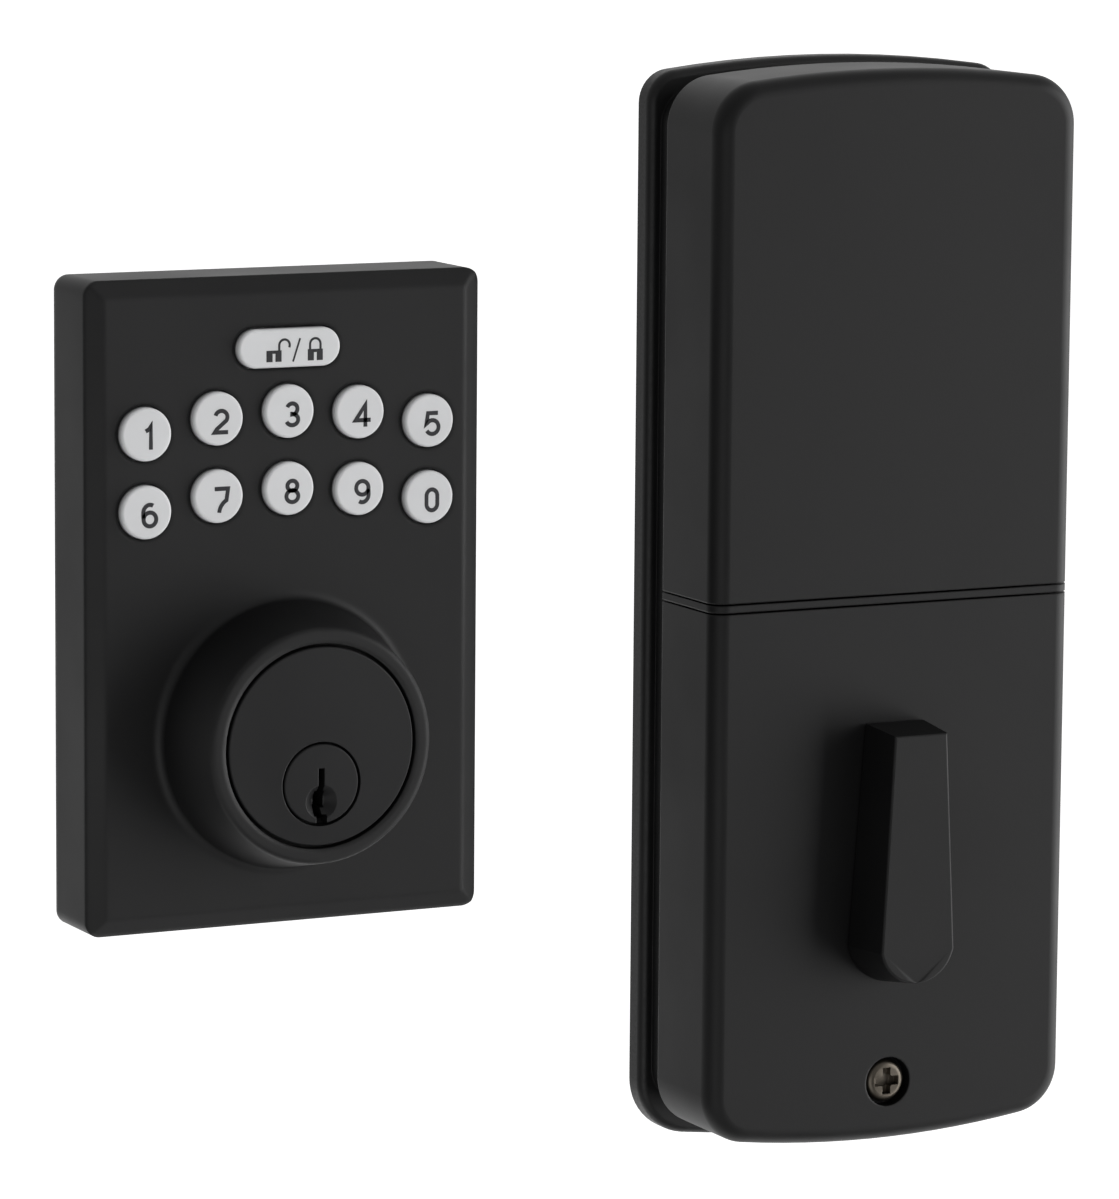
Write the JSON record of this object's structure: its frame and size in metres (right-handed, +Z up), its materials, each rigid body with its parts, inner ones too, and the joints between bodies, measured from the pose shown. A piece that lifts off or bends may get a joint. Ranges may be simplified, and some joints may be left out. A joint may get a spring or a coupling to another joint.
{
  "type": "keypad smart lock",
  "caption": "Deadbolt keypad lock set: exterior escutcheon with round keys and key cylinder, and interior unit with thumb turn, gear drive and battery bay.",
  "frame": {"origin": "where the exterior unit's key axis crosses the plane of the door's face", "axes": "-Y points out of both units' fronts, +Y into the door, +Z up, +X from the exterior unit to the interior unit"},
  "size_m": [0.1844, 0.1032, 0.1969],
  "materials": {
    "painted": "fine matte black powder coat",
    "black_plastic": "moulded, satin",
    "key_plastic": "satin light grey",
    "rubber": "matte",
    "board": "solder mask over glass fibre",
    "chip": "moulded epoxy and tinned leads",
    "steel": "zinc plated",
    "dark_steel": "bronze tinted plating",
    "brass": "turned",
    "black_metal": "matte black plating",
    "gear_plastic": "natural acetal",
    "cell": "plain dark sleeve",
    "motor": "drawn steel can"
  },
  "bodies": {
    "housing": {"keypad_escutcheon": "painted", "front_cover": "painted", "divider_trim": "painted", "cylinder_body": "black_metal", "interior_base": "black_plastic", "battery_tray": "black_plastic", "keypad_membrane": "rubber", "door_seal": "rubber", "keypad_board": "board", "main_board": "board", "keypad_chips": "chip", "cable_socket": "chip", "main_chips": "chip", "position_sensors": "chip", "exterior_back_plate": "steel", "mounting_posts": "steel", "back_plate_screws": "steel", "board_screws": "steel", "cylinder_screws": "steel", "pin_springs": "steel", "interior_mounting_plate": "steel", "base_screws": "steel", "through_bolts": "steel", "idler_axle": "steel", "gear_frame": "steel", "frame_screws": "steel", "battery_springs": "steel", "battery_contacts": "steel", "cover_screw": "dark_steel", "driver_pins": "brass", "front_bush": "brass", "rear_bush": "brass", "aa_cells": "cell", "drive_motor": "motor"},
    "plug": {"cylinder_plug": "black_metal", "key_pins": "brass", "plug_retainer": "steel", "tailpiece": "steel"},
    "turn": {"thumb_turn": "painted", "turn_spindle": "steel", "turn_screw": "steel", "drive_gear": "gear_plastic", "position_cam": "gear_plastic"},
    "idler": {"idler_gear": "gear_plastic"},
    "pinion": {"motor_pinion": "gear_plastic", "motor_shaft": "steel"},
    "bay_cover": {"battery_cover": "painted"},
    "program_key": {"program_button": "chip"},
    "lock_key": {"lock_button": "key_plastic"},
    "digit_1": {"key_1": "key_plastic"},
    "digit_2": {"key_2": "key_plastic"},
    "digit_3": {"key_3": "key_plastic"},
    "digit_4": {"key_4": "key_plastic"},
    "digit_5": {"key_5": "key_plastic"},
    "digit_6": {"key_6": "key_plastic"},
    "digit_7": {"key_7": "key_plastic"},
    "digit_8": {"key_8": "key_plastic"},
    "digit_9": {"key_9": "key_plastic"},
    "digit_0": {"key_0": "key_plastic"}
  },
  "joints": [
    {"name": "key_turn", "type": "hinge", "parent": "housing", "child": "plug", "pos_m": [0, 0, 0], "axis": [0, 1, 0], "range_deg": [-90, 90]},
    {"name": "thumb_turn_rotation", "type": "hinge", "parent": "housing", "child": "turn", "pos_m": [0.1114, 0, -0.0205], "axis": [0, 1, 0], "range_deg": [-90, 90]},
    {"name": "idler_spin", "type": "hinge", "parent": "housing", "child": "idler", "pos_m": [0.1218, 0, -0.00249], "axis": [0, 1, 0], "range_deg": [-301, 301]},
    {"name": "pinion_spin", "type": "hinge", "parent": "housing", "child": "pinion", "pos_m": [0.10986, 0, 0.00557], "axis": [0, 1, 0], "range_deg": [-901, 901]},
    {"name": "battery_cover_slide", "type": "slide", "parent": "housing", "child": "bay_cover", "axis": [0, 0, 1], "range_m": [0, 0.092]},
    {"name": "lock_button_press", "type": "slide", "parent": "housing", "child": "lock_key", "axis": [0, 1, 0], "range_m": [0, 0.0008], "stiffness_N_per_m": 700},
    {"name": "key_1_press", "type": "slide", "parent": "housing", "child": "digit_1", "axis": [0, 1, 0], "range_m": [0, 0.0008], "stiffness_N_per_m": 500},
    {"name": "key_2_press", "type": "slide", "parent": "housing", "child": "digit_2", "axis": [0, 1, 0], "range_m": [0, 0.0008], "stiffness_N_per_m": 500},
    {"name": "key_3_press", "type": "slide", "parent": "housing", "child": "digit_3", "axis": [0, 1, 0], "range_m": [0, 0.0008], "stiffness_N_per_m": 500},
    {"name": "key_4_press", "type": "slide", "parent": "housing", "child": "digit_4", "axis": [0, 1, 0], "range_m": [0, 0.0008], "stiffness_N_per_m": 500},
    {"name": "key_5_press", "type": "slide", "parent": "housing", "child": "digit_5", "axis": [0, 1, 0], "range_m": [0, 0.0008], "stiffness_N_per_m": 500},
    {"name": "key_6_press", "type": "slide", "parent": "housing", "child": "digit_6", "axis": [0, 1, 0], "range_m": [0, 0.0008], "stiffness_N_per_m": 500},
    {"name": "key_7_press", "type": "slide", "parent": "housing", "child": "digit_7", "axis": [0, 1, 0], "range_m": [0, 0.0008], "stiffness_N_per_m": 500},
    {"name": "key_8_press", "type": "slide", "parent": "housing", "child": "digit_8", "axis": [0, 1, 0], "range_m": [0, 0.0008], "stiffness_N_per_m": 500},
    {"name": "key_9_press", "type": "slide", "parent": "housing", "child": "digit_9", "axis": [0, 1, 0], "range_m": [0, 0.0008], "stiffness_N_per_m": 500},
    {"name": "key_0_press", "type": "slide", "parent": "housing", "child": "digit_0", "axis": [0, 1, 0], "range_m": [0, 0.0008], "stiffness_N_per_m": 500},
    {"name": "program_press", "type": "slide", "parent": "housing", "child": "program_key", "axis": [0, 1, 0], "range_m": [0, 0.0005], "stiffness_N_per_m": 900}
  ],
  "couplings": [
    {"joint": "idler_spin", "follows": "thumb_turn_rotation", "ratio": -3.3333},
    {"joint": "pinion_spin", "follows": "thumb_turn_rotation", "ratio": 10}
  ]
}
